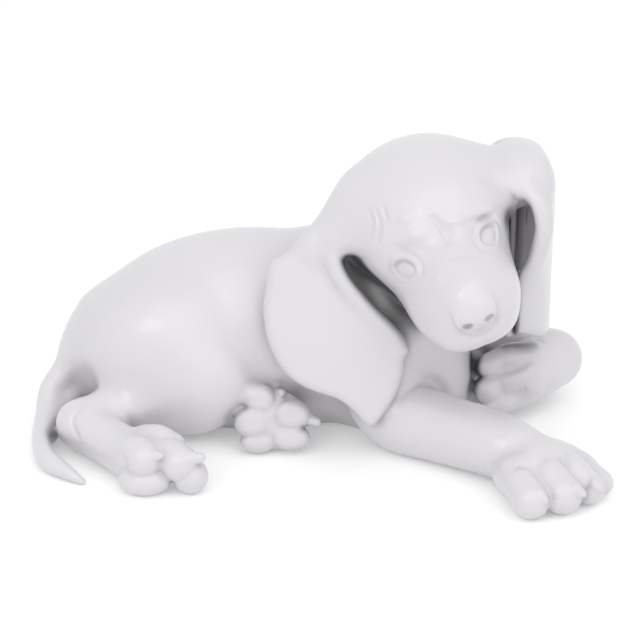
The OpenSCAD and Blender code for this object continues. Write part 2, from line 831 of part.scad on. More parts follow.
// The tail: from the rump down to the floor and forward around the hock
tail_route = [
    with_r(by_rump(6, -4, 34), tail_root_r),
    with_r(by_rump(-1, -7, 28), tail_root_r * 0.73),
    with_r(by_rump(-6, -10, 22.5), tail_r * 1.4),
    with_r(by_rump(-13.4, -15.5, 14), tail_r * 1.1),
    with_r(by_rump(-14.8, -25, 8), tail_r),
    with_r(by_rump(-15.2, -35, 6), tail_r * 0.92),
    with_r(by_rump(-14.6, -44.5, 5), tail_r * 0.92),
    with_r(by_rump(-11.6, -54.4, 4.4), tail_r * 0.95),
    with_r(by_rump(-3.5, -62, 2.8), tail_r * 0.65),
    with_r(by_rump(2.1, -65.9, 1.2), tail_tip_r)
];

module tail() {
    color(porcelain) standing() difference() {
        limb(tail_route, fn = 12);
        trunk_form(slip);
        below_floor();
    }
}

module tail_slip() {
    color(slip_white) standing() difference() {
        intersection() {
            limb(tail_route, fn = 12);
            trunk_form(slip);
        }
        trunk_form();
    }
}

trunk();
head();
neck_slip();
right_ear();
right_ear_slip();
left_ear();
left_ear_slip();
right_foreleg();
right_foreleg_slip();
left_foreleg();
left_foreleg_slip();
right_hind_leg();
right_hind_leg_slip();
left_hind_foot();
left_hind_foot_slip();
tail();
tail_slip();
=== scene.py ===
# A puppy of white glazed porcelain, lying down with its head turned and tilted
import bpy
import numpy as np
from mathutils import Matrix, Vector


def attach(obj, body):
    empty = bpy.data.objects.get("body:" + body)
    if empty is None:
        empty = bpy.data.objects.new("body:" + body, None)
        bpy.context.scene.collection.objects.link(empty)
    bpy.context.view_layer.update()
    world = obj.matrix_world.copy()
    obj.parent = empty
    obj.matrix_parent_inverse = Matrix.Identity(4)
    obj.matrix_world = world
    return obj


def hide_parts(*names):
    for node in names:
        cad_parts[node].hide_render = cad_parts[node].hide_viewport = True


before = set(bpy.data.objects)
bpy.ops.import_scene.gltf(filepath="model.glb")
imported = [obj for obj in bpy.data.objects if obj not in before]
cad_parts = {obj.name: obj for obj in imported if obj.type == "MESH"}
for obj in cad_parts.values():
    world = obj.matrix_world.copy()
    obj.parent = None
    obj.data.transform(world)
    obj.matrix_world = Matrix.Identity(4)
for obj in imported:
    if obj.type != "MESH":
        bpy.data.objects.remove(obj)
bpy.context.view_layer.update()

# Trunk: the barrel with haunch, seat, chest and neck, slip cast hollow in white porcelain and
# drained through the neck. It comes first and carries the other castings. Forms are distances
# in mm, below zero inside: x to the head end, y away from the viewer, z up from the floor.
F = np.float32
trunk_ovals = {
    "haunch": ((-65.5, 24, 29.5), (25, 24, 23), 6),
    "seat": ((-75, 29, 14), (20.5, 18, 17), 12),
    "far thigh": ((-48, 44, 19), (32, 16, 20), 12),
    "chest": ((24, 19, 34), (30, 27, 35), 12),
    "low chest": ((32, 18, 15), (25, 20, 22), 10),
    "far shoulder": ((52, 32, 9), (12, 11, 14), 8),
}


def oval(p, at, half, turn=None):
    """Distance to an ellipsoid: r (r - 1) over the length of the slope of r, where r is the
    radius in half axes. The columns of turn are the directions of the axes."""
    q = p - np.asarray(at, F)
    if turn is not None:
        q = q @ turn
    half = np.asarray(half, F)
    q = q / half
    size = np.sqrt((q * q).sum(1))
    q = q / half
    return size * (size - 1) / (np.sqrt((q * q).sum(1)) + F(1e-9))


def taper(p, a, b, ra, rb):
    """Distance to a round cone: from the nearest point of its axis, less the radius there."""
    a, b = np.asarray(a, F), np.asarray(b, F)
    run = b - a
    t = np.clip(((p - a) @ run) / (run @ run), 0, 1)
    q = p - a - t[:, None] * run
    return np.sqrt((q * q).sum(1)) - (F(ra) + F(rb - ra) * t)


def melt(a, b, k):
    """The nearer of two forms, run together: less k h h / 4, where h falls from 1 where they are
    equally far to 0 where they differ by k."""
    h = np.maximum(k - np.abs(a - b), 0) / k
    return np.minimum(a, b) - h * h * k * F(0.25)


def trunk(p):
    """The oval of the barrel with the other ovals and the tapering neck melted on."""
    d = oval(p, (-24, 28, 30.5), (62, 33, 39.5))
    for at, half, width in trunk_ovals.values():
        d = melt(d, oval(p, at, half), width)
    return melt(d, taper(p, (14, 29, 47.5), (34, 21, 69.5), 26, 24), 12)


castings = {"trunk": (trunk, ["trunk"])}

# Head: slip cast hollow, with skull, cheeks, muzzle and nose, luted to the neck with slip.
# The maker tooled eyes, brow, wrinkles, nose and mouth into the damp clay. Its own frame has
# x to the dog's left, y forward and z up; f is that frame with both sides folded together.
head_at = np.array((38.2, 7, 81.3), F)
forward = np.array((0.129, -0.987, 0.093))
forward /= np.linalg.norm(forward)
to_left = np.array((0.926, 0.153, 0.344))
to_left -= forward * (to_left @ forward)
to_left /= np.linalg.norm(to_left)
head_axes = np.stack([to_left, forward, np.cross(forward, to_left)], 1).astype(F)
face_middle, skull_middle = 1.2, 1.9
eye_at = np.array((15.9, 31.4, -1.3), F)
eye_along = np.array((0.61, -0.79, 0.09), F)
eye_up = np.array((-0.40, -0.21, 0.89), F)
brow_strength, furrow_strength = 1.4, 1.5
brow_knobs = (
    ((-8.3, 29.0, 14.6), (2.6, 3, 1.8), 0.9), ((-7.5, 32.2, 9.0), (3, 3, 2.6), 1.1),
    ((-13.2, 29.1, 5.4), (3, 3, 1.7), -0.9), ((-7.5, 37.2, 2.6), (2.6, 3, 2.4), -0.6),
    ((9.2, 32.7, 8.2), (3, 3, 1.9), 1.0), ((8.0, 33.6, 4.0), (2.4, 3, 1.6), 0.7),
    ((4.2, 33.7, 6.4), (1.6, 3, 2.6), -0.7), ((-5.8, 45.5, -3.7), (1.6, 2, 1.4), 0.35))
furrows = (
    ([(0.8, 30.2, 13.0), (2.1, 32.5, 8.5), (2.8, 36.7, 2.6)], 1.4, -0.8),
    ([(12.6, 31.0, 6.1), (16.8, 28.9, 4.2), (22.1, 24.7, 2.2)], 1.0, -0.55),
    ([(11.6, 30.8, 8.3), (17.0, 28.0, 6.2), (22.1, 23.8, 4.0)], 1.4, 0.4),
    ([(-0.5, 40.7, 0.6), (4.9, 42.5, -0.7), (10.7, 41.9, -3.4)], 1.3, -0.3),
    ([(-17.4, 15.6, 20.9), (-18.3, 20.7, 15.4), (-21.7, 20.6, 9.4)], 0.9, -0.5),
    ([(-15.4, 18.4, 20.2), (-16.6, 23.3, 14.3), (-20.1, 23.3, 8.0)], 0.9, -0.5),
    ([(-13.1, 21.1, 19.6), (-13.7, 25.2, 14.9)], 0.9, -0.45),
    ([(23.7, 17.4, 12.7), (26.0, 17.2, 7.3)], 0.9, -0.5),
    ([(21.4, 18.8, 15.2), (23.8, 19.3, 9.7)], 0.9, -0.4))
tear_duct = ([(11.2, 37.0, -1.9), (10.2, 39.2, -3.6)], 0.7, -0.8)
nose_and_mouth = (
    ([(8.2, 56, -12.5), (8.6, 56, -17.5), (7.2, 55.4, -21.4), (4, 54, -24.6)], 1.0, -1.1),
    ([(7.6, 55.2, -21.4), (4.6, 54.2, -25.2), (-4, 53, -27.4)], 0.9, -0.9),
    ([(0.2, 55.5, -23), (0.2, 53.4, -25.6), (0.2, 52, -30)], 0.7, -0.7))


def cut(a, b, k):
    """Form a with form b taken out of it, the edge rounded over a width k."""
    return -melt(-a, b, k)


def rise(x, a, b):
    """Smooth step from 0 at a to 1 at b: t t (3 - 2 t), where t is the way gone from a to b."""
    t = np.clip((x - a) / (b - a), 0, 1)
    return t * t * (3 - 2 * t)


def knob(p, at, size, height):
    """Height of a soft bump: a bell, e to the power of minus the squared distance in sizes."""
    q = (p - np.asarray(at, F)) / np.asarray(size, F)
    return F(height) * np.exp(-(q * q).sum(1))


def span(a, b, c, d, t):
    """Cubic from b to c whose slopes there are half of c - a and half of d - b."""
    bend, sway = 2 * a - 5 * b + 4 * c - d, 3 * b - a - 3 * c + d
    return 0.5 * (2 * b + (c - a) * t + bend * t ** 2 + sway * t ** 3)


def spline(pts, n):
    """Smooth curve through the rows of pts, n points in each span; the end spans take a row
    mirrored beyond the end."""
    pts = np.asarray(pts, float)
    rows = np.vstack([2 * pts[0] - pts[1], pts, 2 * pts[-1] - pts[-2]])
    t = (np.arange(n) / n)[:, None]
    return np.vstack([span(*rows[i:i + 4], t) for i in range(len(pts) - 1)] + [pts[-1:]])


def fold(p, route, width, height):
    """Height of a soft ridge along a smooth line: a bell of the distance from it in widths, times
    the root of 4 s (1 - s), s being the way gone along it, so it fades out at both ends."""
    line = spline(route, 3).astype(F)
    least, along = np.full(len(p), 1e9, F), np.zeros(len(p), F)
    for i, (a, b) in enumerate(zip(line[:-1], line[1:])):
        run = b - a
        t = np.clip(((p - a) @ run) / (run @ run), 0, 1)
        q = p - a - t[:, None] * run
        off = (q * q).sum(1)
        along = np.where(off < least, (i + t) / (len(line) - 1), along)
        least = np.minimum(least, off)
    return F(height) * np.exp(-least / F(width ** 2)) * np.sqrt(4 * along * (1 - along))


def folded(q, middle):
    """Points of the head's frame with x turned into the distance from a middle plane."""
    f = q.copy()
    f[:, 0] = np.abs(q[:, 0] - F(middle))
    return f


def eyes(f):
    """Height of an eye: bells of the distance from an almond between two arcs for the lid, the
    crease inside it and the fold over it, and a smooth rise inwards for the eyeball."""
    r = f - eye_at
    s, t = r @ eye_along, r @ eye_up
    almond = np.maximum(np.hypot(s, t + F(3.3)) - F(6.2), np.hypot(s, t - F(2.9)) - F(6.0))
    upper = (1 + np.tanh(t)) / 2
    lid = (0.3 + 0.35 * upper) * np.exp(-((almond - 1.0) / 0.8) ** 2)
    crease = (0.34 + 0.42 * upper) * np.exp(-((almond + 0.15) / 0.5) ** 2)
    over = 0.55 * upper * np.exp(-((almond - 2.9) / 0.8) ** 2)
    h = lid - crease - over + 0.6 * rise(-almond, 0.2, 2.6)
    return (h * ((r * r).sum(1) < 190)).astype(F)


def face(p):
    """Height of the face's tooling, in front of the skull: the sum of eyes, knobs and folds."""
    h = np.zeros(len(p), F)
    q = (p - head_at) @ head_axes
    front = (q[:, 1] > 8) & ((q * q).sum(1) < 5000) & (p[:, 2] > 48)
    q = q[front]
    f = folded(q, face_middle)
    tooled = eyes(f) + fold(f, *tear_duct)
    for at, size, height in brow_knobs:
        tooled = tooled + knob(q, at, size, brow_strength * height)
    for line, width, height in furrows:
        tooled = tooled + fold(q, line, width, furrow_strength * height)
    for line, width, height in nose_and_mouth:
        tooled = tooled + fold(f, line, width, height)
    h[front] = tooled
    return h


def head(p):
    """Ovals of brain case, brow, cheeks, lips, chin and nose and the taper of the bridge, melted
    together, with the oval nostrils cut out."""
    q = (p - head_at) @ head_axes
    f, b = folded(q, face_middle), folded(q, skull_middle)
    d = oval(q, (0, -3, 6.5), (30, 32, 25))
    d = melt(d, oval(b, (0, 13, -2), (22.8, 20, 20)), 12)
    d = melt(d, oval(b, (7.4, 15, -15), (10.8, 22, 14.5)), 10)
    d = melt(d, oval(f, (6.4, 35.5, -19.3), (12.2, 19, 13.4)), 12)
    d = melt(d, taper(f, (0, 24, -5), (0, 50, -12.5), 10, 8), 9)
    d = melt(d, oval(f, (0, 40, -27), (12, 13, 6)), 6)
    d = melt(d, oval(f, (0, 54.2, -16.2), (8.6, 5.2, 6.2)), 2.2)
    front = (q[:, 1] > 40) & (d < 6)
    if front.any():
        d[front] = cut(d[front], oval(f[front], (4.0, 58.2, -19.8), (1.9, 2.8, 1.4)), 0.6)
    return d


castings["head"] = (head, ["head", "neck_slip"])

# Near ear: the dog's right one, a solid leaf of porcelain pressed in a mould, with a rolled
# front rim. It is luted to the side of the skull with slip and hangs down over the shoulder.
right_ear_half_wall = 2.0
right_ear_outline = [
    (9.4, 88.5), (-1.4, 84.5), (-8.1, 79.3), (-12.7, 74.5), (-18.4, 70.2), (-19.8, 61.9),
    (-20.8, 54.4), (-19.7, 45.4), (-17.2, 38.9), (-13.4, 33.3), (-7.2, 29.2), (-0.5, 26.8),
    (6.1, 24.8), (11.6, 20.9), (16, 16.2), (19.7, 15.6), (23.7, 20.0), (27.7, 25.9), (30, 33.2),
    (30, 40), (27, 46.4), (22, 51.4), (16, 57.8), (10.2, 64.3), (6.8, 70.3), (6.6, 75.8),
    (10, 80), (17, 83)]
right_ear_rim = [
    (18.5, 2.4, 82.6, 4), (11.8, -1.4, 82, 3.6), (7, -4.8, 79.5, 3.3), (5.2, -6.8, 75.7, 3.2),
    (5.8, -8.3, 71.2, 3.1), (8.2, -9.4, 66.4, 3), (12.4, -10.2, 61.2, 2.8),
    (17.4, -10.8, 55.7, 2.6), (23, -11, 50.5, 2.5), (27, -11.5, 46.2, 2.4), (28.8, -13, 41.5, 2.3)]


def strand(p, route, n=3):
    """Distance to a limb: the nearest of the round cones along a smooth curve through the rows
    of the route, each a place and a radius."""
    balls = spline(route, n).astype(F)
    d = None
    for a, b in zip(balls[:-1], balls[1:]):
        e = taper(p, a[:3], b[:3], a[3], b[3])
        d = e if d is None else np.minimum(d, e)
    return d


def closed_outline(pts, n=3):
    """Smooth closed curve through the rows of pts, n points in each span."""
    pts = np.asarray(pts, float)
    rows = np.vstack([pts[-1:], pts, pts[:2]])
    t = (np.arange(n) / n)[:, None]
    return np.vstack([span(*rows[i:i + 4], t) for i in range(len(pts))]).astype(F)


def within(px, pz, pts):
    """Distance to a closed flat outline, below zero inside: the least distance to its sides, with
    the sign turned at each side that a level line from the point crosses."""
    d = np.full(len(px), 1e9, F)
    sign = np.ones(len(px), F)
    for (ax, az), (bx, bz) in zip(pts, np.roll(pts, 1, 0)):
        ex, ez = bx - ax, bz - az
        wx, wz = px - ax, pz - az
        t = np.clip((wx * ex + wz * ez) / (ex * ex + ez * ez), 0, 1)
        dx, dz = wx - ex * t, wz - ez * t
        d = np.minimum(d, dx * dx + dz * dz)
        above = pz >= az
        below = pz < bz
        left = ex * wz > ez * wx
        sign = np.where((above & below & left) | (~above & ~below & ~left), -sign, sign)
    return sign * np.sqrt(d)


right_ear_edge = closed_outline(right_ear_outline)


def ear_right(p):
    """A leaf of even wall about a bent middle sheet, y rising with z and with the square of x,
    kept within the outline, with the rolled rim and the tapering root melted on."""
    x, y, z = p.T
    middle = -22.5 + 0.31 * (z - 17) + 0.0055 * (x - 8) ** 2 - 0.010 * np.maximum(x - 22, 0) ** 2
    leaf = np.abs(y - middle) * F(0.94) - F(right_ear_half_wall)
    d = -melt(-leaf, -within(x, z, right_ear_edge), 4)
    d = melt(d, strand(p, right_ear_rim, 2), 3)
    return melt(d, taper(p, (16, 4, 88), (1, -1, 77), 11, 5), 7)


castings["right_ear"] = (ear_right, ["right_ear", "right_ear_slip"])

# Far ear: the dog's left one, a solid pressed leaf of porcelain that bulges away from the cheek
# like a shell. It is luted to the skull with slip, and its hollow opens towards the viewer.
left_ear_edge = closed_outline([
    (14, 35), (4, 38.5), (-3, 42.5), (-6, 47), (-6.3, 55), (-6.3, 62), (-8, 70), (-9.5, 79),
    (-9.5, 88), (-7, 95), (-2, 101), (4, 106), (12, 110.5), (24, 109), (36, 103), (44, 92),
    (47, 76), (46, 56), (39, 42), (26, 35)])
left_ear_rim = [
    (58, 6, 100, 5), (67.5, -1, 99.9, 3.2), (71.5, -4, 99.2, 2.8), (76, -7, 95.1, 2.6),
    (78.2, -8.5, 87.8, 2.5), (77.5, -8, 80.7, 2.5), (75.4, -6, 72.7, 2.4), (72, -3, 64.8, 2.3)]
rim_heights, rim_depths = [36, 62, 70, 86, 100, 112], [20, 20, 25, 36, 27, 24]


def ear_left(p):
    """A shell of a wall's width inside an upright oval column with a domed top, the wall growing
    to the back, kept within the outline and clear of the cheek, with rim and root melted on."""
    x, y, z = p.T
    ay = np.where(y < 14, np.interp(z, rim_heights, rim_depths), 34).astype(F)
    az = F(16)
    inner = 71 - 6 * rise(y, 20, 46)
    ax = np.where(x > inner, 13, 8).astype(F)
    u, v, w = (x - inner) / ax, (y - 14) / ay, np.maximum(z - 94, 0) / az
    size = np.sqrt(u * u + v * v + w * w) + F(1e-6)
    steep = np.sqrt((u / ax) ** 2 + (v / ay) ** 2 + (w / az) ** 2) + F(1e-9)
    wall = 2 + 12 * rise(y, 4, 20)
    shell = np.abs(size * (size - 1) / steep + wall) - wall
    cheek_side = 71 - 3 * rise(y, -4, 8) - 6 * rise(z, 96, 106) - 8 * rise(y, 8, 22)
    kept = np.maximum(within(y, z, left_ear_edge), cheek_side - x)
    d = -melt(-shell * F(0.95), -kept, 3.5)
    d = melt(d, strand(p, left_ear_rim, 2), 4)
    d = melt(d, taper(p, (54, 6, 94), (71, 4, 97), 9, 5), 5)
    d = melt(d, oval(p, (71, 6, 99.5), (10, 10, 9)), 5)
    return melt(d, taper(p, (48, 10, 92), (66, 13, 100), 15, 8.5), 6)


castings["left_ear"] = (ear_left, ["left_ear", "left_ear_slip"])

# Near foreleg: the dog's right one, slip cast hollow and stretched out on the floor, luted to the
# shoulder with slip. Four toes with claws end the paw; the folds between them were tooled.
right_foreleg_route = [
    (22, 10, 44, 17), (21, 0, 28, 15), (27, -7, 14, 13.5), (43, -17, 12.4, 12.6),
    (58, -28, 12.8, 11.9), (67, -34.5, 12.2, 11.2), (77, -41, 10, 9.4)]
right_fore_toes = (
    ([(66.6, -45, 9, 5.5), (69.2, -52.6, 9.4, 6.6), (71.2, -58.2, 7.8, 6.6), (72.6, -61.8, 6.7, 6.6)],
     [(75, -64.6, 10.2), (77, -66, 9)]),
    ([(74, -44, 9.5, 6), (79.2, -51.5, 9.7, 7), (82, -55.6, 8.2, 6.9), (83.8, -58.2, 7, 7)],
     [(88, -61.4, 10.6), (90.2, -62.2, 9.4)]),
    ([(81, -39, 9, 5.5), (87.2, -45.5, 9.6, 6.2), (91, -49.4, 7.6, 5.9), (93.6, -51.6, 5.9, 5.7)],
     [(95.2, -55, 9.2), (96.8, -56.2, 8.2)]),
    ([(84, -34, 9, 5), (91.3, -38.3, 8.6, 4.9), (95.6, -42.6, 6.4, 4.5), (98.2, -45.6, 5, 4.7)], None))
tooled_lines = [
    ([(67.5, -53, 15.6), (71, -54.6, 14.4), (74.4, -57.4, 11.8), (77.4, -61, 8.6)], 1.5, -1.2),
    ([(78.2, -46.8, 15.8), (82.6, -46.9, 14.4), (86.6, -49.4, 12), (90.4, -52.4, 9)], 1.4, -1.0),
    ([(86.8, -36.5, 13.8), (91.3, -39.4, 12.4), (94, -42.4, 10.8), (97.4, -46.4, 8)], 1.2, -0.9),
    ([(58.4, -41.8, 18.7), (61.1, -42.2, 20.8), (65.2, -43.3, 22), (68.3, -44.7, 21.2)], 1.4, 0.3)]
tooled_knobs = [
    ((64.5, -49.5, 15.5), 3, 0.6), ((79.6, -52.2, 16.6), 3.6, 0.6), ((87.6, -46.2, 15.8), 3.2, 0.6),
    ((70.6, -54.4, 15.8), 3, 0.4)]


def turned(yaw=0, pitch=0, roll=0):
    """Axes turned by three angles, as columns: about y by roll, then x by pitch, then z by yaw."""
    y, p, r = np.radians([yaw, pitch, roll])
    rz = np.array([[np.cos(y), -np.sin(y), 0], [np.sin(y), np.cos(y), 0], [0, 0, 1]])
    rx = np.array([[1, 0, 0], [0, np.cos(p), -np.sin(p)], [0, np.sin(p), np.cos(p)]])
    ry = np.array([[np.cos(r), 0, np.sin(r)], [0, 1, 0], [-np.sin(r), 0, np.cos(r)]])
    return (rz @ rx @ ry).astype(F)


def toe(p, route, claw=None, thick=0):
    """A strand for the toe, with a blunt taper for its claw melted on where it has one."""
    d = strand(p, route)
    if claw is not None:
        d = melt(d, taper(p, claw[0], claw[1], thick, 0.6 * thick), 0.7)
    return d


def fore_right(p):
    """One strand from the shoulder over the elbow to the wrist."""
    return strand(p, right_foreleg_route, 5)


def paw_fore_right(p):
    """An oval back of the paw with the toes melted on, less and less softly towards the tips."""
    d = oval(p, (75.2, -41.8, 8.8), (13.8, 12.5, 10), turned(yaw=36, pitch=-12))
    along = (p[:, 0] - 74) * F(0.59) - (p[:, 1] + 42.5) * F(0.81)
    soft = 6 - 4.6 * rise(along, 2, 11)
    for route, claw in right_fore_toes:
        d = melt(d, toe(p, route, claw, 2.5), soft)
    return d


def foreleg_right(p):
    """The nearer of leg and paw."""
    return np.minimum(fore_right(p), paw_fore_right(p))


castings["right_foreleg"] = (foreleg_right, ["right_foreleg", "right_foreleg_slip"])

# Far foreleg: the dog's left one, slip cast hollow, bent at the wrist so that the paw is folded
# back under the chin. It is luted to the far shoulder with slip; the toes were tooled apart.
left_upper_route = [(40, 42, 34, 17), (58, 47, 18, 13.5), (75, 43, 16, 11.5), (88, 33.5, 16.5, 10.4)]
left_lower_route = [(88, 33.5, 16.5, 10.4), (82, 25.5, 16.5, 11), (75, 19.5, 16.5, 11.2)]
left_fore_toes = (
    [(78, 20, 23, 6), (70, 17, 24, 5.8), (66.5, 15.6, 24, 4.6), (62, 13.6, 22.4, 4.7)],
    [(77, 16, 16.5, 6.4), (70, 13.5, 17, 6.2), (66.2, 12.4, 16, 5), (61.8, 10.8, 14.2, 5.2)],
    [(75, 15.5, 11, 5.2), (68, 11.5, 9.6, 5.2), (63.5, 9.4, 7, 4.6)])
tooled_lines += [
    ([(66, 9, 22), (71.9, 10.6, 23), (78.3, 13.2, 25.4)], 1.8, -0.9),
    ([(68.5, 7, 10.6), (73.1, 8, 13.6), (76.3, 8, 15.8)], 1.8, -0.9)]


def fore_left(p):
    """Two strands that meet at the bent wrist, melted together."""
    return melt(strand(p, left_upper_route, 5), strand(p, left_lower_route, 5), 2.5)


def paw_fore_left(p):
    """Three toes melted together."""
    d = toe(p, left_fore_toes[0])
    for route in left_fore_toes[1:]:
        d = melt(d, toe(p, route), 0.9)
    return d


def foreleg_left(p):
    """The nearer of leg and paw."""
    return np.minimum(fore_left(p), paw_fore_left(p))


castings["left_foreleg"] = (foreleg_left, ["left_foreleg", "left_foreleg_slip"])

# Near hind leg: the dog's right one, slip cast hollow with its thigh, knee and hock, and luted to
# the haunch with slip. The paw points forward on its side; the heel's crease was tooled.
right_hind_toes = (
    ([(-62, -27, 13, 5), (-57, -31.5, 15.4, 4.7), (-51.5, -34.6, 14.2, 4.1)], None, 0, 1.2),
    ([(-69, -33, 11, 6), (-64.4, -39.4, 13.2, 6.6), (-61.8, -43, 13, 6.7)],
     ((-57, -46.4, 16), (-55.4, -46.8, 16.2)), 2.1, 1.1),
    ([(-58, -33, 11, 6), (-52.6, -39.8, 12.2, 6.6), (-49.6, -43, 11.6, 6.7)],
     ((-45, -45, 14.2), (-41.6, -45.6, 14.8)), 2.8, 1.1))
heel_crease = [
    (-83.6, -12.8, 19.7), (-87.6, -16.5, 18), (-89, -18.9, 15.3), (-87.4, -21.6, 12.6),
    (-85.9, -23.8, 10.5)]
tooled_lines += [(heel_crease, 1.0, -0.8)]
tooled_knobs += [((-68.9, -44.9, 12.7), 2.4, -1.2)]


def hind_right(p):
    """Ovals of thigh and knee and two strands that meet at the hock, melted together, and drawn
    in by a bell under the tail."""
    d = oval(p, (-53, 7, 30), (29, 19, 25), turned(roll=25))
    d = melt(d, oval(p, (-42, -1, 23), (19, 14, 15), turned(roll=-10)), 10)
    d = melt(d, strand(p, [(-46, -1, 17, 13), (-66, -3, 14.5, 11.5), (-86, -10.5, 10.5, 8.8)], 5), 6)
    d = melt(d, strand(p, [(-86, -10.5, 10.5, 8.8), (-76, -22, 9.5, 8.6), (-66, -33, 9, 8.8)], 5), 4)
    return d + knob(p, (-86, 6, 18), (10, 9, 6), 3)


def paw_hind_right(p):
    """An oval paw with its toes, claws and two oval pads melted on."""
    d = oval(p, (-61.5, -35.5, 8), (10.5, 9, 8))
    for route, claw, thick, width in right_hind_toes:
        d = melt(d, toe(p, route, claw, thick), width)
    d = melt(d, oval(p, (-61.6, -43, 5.1), (9.6, 7, 5.6)), 0.8)
    return melt(d, oval(p, (-45.6, -42.6, 6), (6.4, 6.2, 6.4), turned(roll=25)), 0.8)


def leg_hind_right(p):
    """The nearer of leg and paw."""
    return np.minimum(hind_right(p), paw_hind_right(p))


castings["right_hind_leg"] = (leg_hind_right, ["right_hind_leg", "right_hind_leg_slip"])

# Far hind foot: the dog's left one, a solid casting that comes out under the belly with its sole
# to the viewer. It is luted to the underside of the trunk with slip. Five pads stand on the sole.
sole_at = np.array((-16.5, -8.5, 11.5), F)
sole_axes = turned(pitch=-17)
sole_pads = (
    ((-5.2, -2.8, 8.0), (5.8, 3.8, 5.3)), ((6.2, -3.6, 2.4), (6.9, 3.8, 5.5)),
    ((5.8, -3.2, -6.2), (7.2, 3.8, 4.6)), ((-6.2, -2.6, -8), (6.4, 3.8, 4)),
    ((-8, -3.2, -0.6), (6.7, 3.8, 5.6)))


def hind_left(p):
    """A strand for the shank and an oval sole. Each pad is an upright oval column cut to a slab
    with rounded edges; two tapers make the claws."""
    d = strand(p, [(-42, 30, 14, 13), (-30, 14, 11, 11), (-20, 0, 11.2, 10.4)], 5)
    s = (p - sole_at) @ sole_axes
    d = melt(d, oval(s, (-0.5, -0.4, 0), (12.4, 5.6, 11)), 3)
    for at, half in sole_pads:
        column = oval(s, at, np.multiply(half, (1, 99, 1)))
        d = melt(d, -melt(-column, half[1] - np.abs(s[:, 1] - at[1]), 4), 0.7)
    d = melt(d, taper(s, (1.2, -1, 9.2), (2.6, -3.8, 10.2), 2.4, 1.5), 0.8)
    return melt(d, taper(s, (11.6, -2.4, 0.6), (15.4, -3.8, -0.4), 2.6, 1.5), 0.8)


castings["left_hind_foot"] = (hind_left, ["left_hind_foot", "left_hind_foot_slip"])

# Tail: a solid casting of porcelain, luted to the rump with slip. It falls to the floor, where
# its broad underside rests, and curls forward to a thin tip beside the hock.
tail_route = [
    (-80, 24, 34, 11), (-87, 21, 28, 8), (-92, 18, 22.5, 5.4), (-96, 15, 18, 4.7),
    (-99.4, 12.5, 14, 4.3), (-100.6, 8, 10.3, 4.1), (-100.8, 2.8, 8, 3.9), (-101.2, -7.2, 6, 3.6),
    (-100.6, -16.5, 5, 3.6), (-97.6, -26.4, 4.4, 3.7), (-93.3, -31, 3.6, 3.2),
    (-89.5, -34.1, 2.8, 2.5), (-85.8, -36.8, 1.8, 1.6), (-83.9, -37.9, 1.2, 1.0)]
tail_underside = [
    (-86, 22, 18, 8), (-91, 18, 12, 6.4), (-95, 12, 8, 5), (-97.5, 4, 5.6, 4), (-99, -6, 4.4, 3.6)]


def tail(p):
    """A strand for the tail and one for its underside, melted together."""
    return melt(strand(p, tail_route), strand(p, tail_underside), 4)


castings["tail"] = (tail, ["tail", "tail_slip"])

# Glaze: the castings are luted, dipped in clear glaze and fired, and the glaze runs over them as
# one skin. So the surface is worked out once for all of them, and then parted along the luted
# joints into the pieces that stand for the castings. Its colour is darkened towards near black
# where other forms close in over it, in creases, gaps and hollows: painted shade.
cell = 0.62
middle = np.array((0.5, 3.3, 0))
skin_low, skin_high = (-110, -70, -1.2), (108, 66, 116)
even_rounds, shade_rounds = 6, 4
wide_reaches, fine_reaches = (2, 5, 11, 22), (0.8, 2)
dull_glaze, bright_glaze = (0.75, 0.733, 0.76, 1), (0.79, 0.773, 0.8, 1)
# Near-black painted shade colour, mixed into the glaze in creases, gaps and hollows.
painted_shade_colour = (0.1, 0.095, 0.1, 1)
gloss_low, gloss_high = 0.29, 0.36


def near(p, form, lo, hi, margin=9.0):
    """The form where p lies near the box from lo to hi, and elsewhere the distance to that box."""
    lo, hi = np.asarray(lo, F), np.asarray(hi, F)
    gap = np.maximum(np.maximum(lo - p, p - hi), 0)
    d = np.sqrt((gap * gap).sum(1)) + F(1.0)
    close = d < margin
    if close.any():
        d[close] = form(p[close])
    return d


def puppy(p):
    """All the castings melted together, over greater widths where the glaze runs softly, and cut
    off flat at the floor."""
    x, y, z = p.T
    d = near(p, trunk, (-88, -8, 0), (62, 64, 98), 16)
    d = melt(d, near(p, hind_right, (-100, -42, 0), (-20, 30, 58), 16), 14 - 10 * rise(x, -50, -28))
    d = melt(d, near(p, paw_hind_right, (-78, -54, 0), (-37, -20, 24)), 2.5)
    d = melt(d, near(p, hind_left, (-58, -20, 0), (2, 46, 30)), 3)
    d = melt(d, near(p, tail, (-108, -42, 0), (-66, 38, 48), 12), 3 + 7 * rise(z, 14, 28))
    d = melt(d, near(p, fore_right, (2, -54, 0), (86, 30, 64)), 5)
    d = melt(d, near(p, paw_fore_right, (58, -70, 0), (108, -26, 22)), 2.5)
    d = melt(d, near(p, fore_left, (20, 4, 0), (102, 64, 54)), 4)
    d = melt(d, near(p, paw_fore_left, (50, 2, 0), (80, 30, 36)), 2)
    d = melt(d, near(p, head, (4, -60, 46), (76, 42, 116), 12), 3 + 7 * rise(y, 10, 24))
    d = melt(d, near(p, ear_right, (-24, -30, 10), (38, 18, 106), 14), 2.5 + 10 * rise(z, 70, 82))
    d = melt(d, near(p, ear_left, (30, -14, 30), (90, 52, 118), 12), 2.5 + 7 * rise(z, 82, 94))
    return np.maximum(d, -z)


def relief(p):
    """Height of all the tooling: the face, and the folds and knobs of legs and paws."""
    h = face(p)
    for line, width, height in tooled_lines:
        lo, hi = np.min(line, 0) - 4, np.max(line, 0) + 4
        by = ((p > lo) & (p < hi)).all(1)
        h[by] += fold(p[by], line, width, height)
    for at, size, height in tooled_knobs:
        h = h + knob(p, at, size, height)
    return h


def lattice(*counts):
    """All the index triples of a grid with these counts."""
    return np.stack(np.meshgrid(*map(np.arange, counts), indexing="ij"), -1).reshape(-1, 3)


